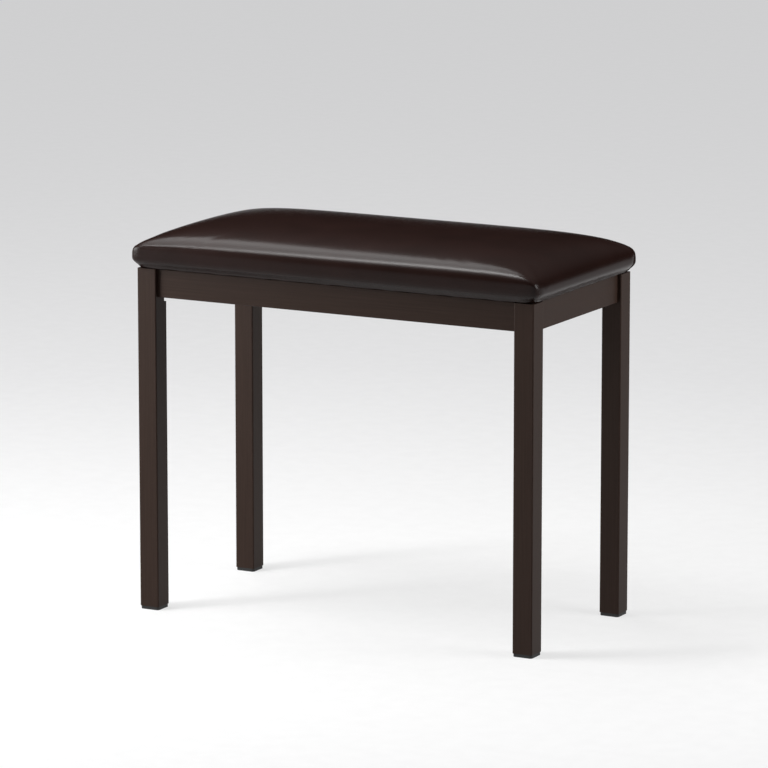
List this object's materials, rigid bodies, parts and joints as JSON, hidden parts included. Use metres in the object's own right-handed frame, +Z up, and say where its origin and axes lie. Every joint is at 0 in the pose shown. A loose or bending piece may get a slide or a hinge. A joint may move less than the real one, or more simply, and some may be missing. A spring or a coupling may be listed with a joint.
{
  "type": "padded bench",
  "caption": "Rectangular padded bench: a crowned vinyl cushion on a dark wooden frame of straight square legs and narrow aprons set back from them.",
  "frame": {"origin": "on the floor, at the middle of the bench's footprint", "axes": "+X along the length to the right, +Y to the back, +Z up; the front is towards -Y"},
  "size_m": [0.554, 0.276, 0.48],
  "materials": {
    "frame_wood": "satin dark brown lacquer",
    "foot_plastic": "matt black",
    "seat_vinyl": "semi-gloss brown-black vinyl with a fine grain",
    "seat_foam": "cut foam",
    "seat_plywood": "raw plywood",
    "dust_cloth": "black non-woven cloth",
    "zinc_steel": "bright zinc plate",
    "staple_wire": "galvanised wire"
  },
  "bodies": {
    "root": {"leg_front_left": "frame_wood", "leg_front_right": "frame_wood", "leg_rear_left": "frame_wood", "leg_rear_right": "frame_wood", "apron_front": "frame_wood", "apron_rear": "frame_wood", "apron_left": "frame_wood", "apron_right": "frame_wood", "foot_pad_front_left": "foot_plastic", "foot_pad_front_right": "foot_plastic", "foot_pad_rear_left": "foot_plastic", "foot_pad_rear_right": "foot_plastic", "seat_cover": "seat_vinyl", "seat_foam": "seat_foam", "seat_board": "seat_plywood", "dust_cover": "dust_cloth", "corner_bracket_front_left": "zinc_steel", "corner_bracket_front_right": "zinc_steel", "corner_bracket_rear_left": "zinc_steel", "corner_bracket_rear_right": "zinc_steel", "hanger_bolts": "zinc_steel", "bolt_washers": "zinc_steel", "bolt_nuts": "zinc_steel", "seat_screws": "zinc_steel", "cover_staples": "staple_wire", "dust_cover_staples": "staple_wire"}
  },
  "joints": []
}
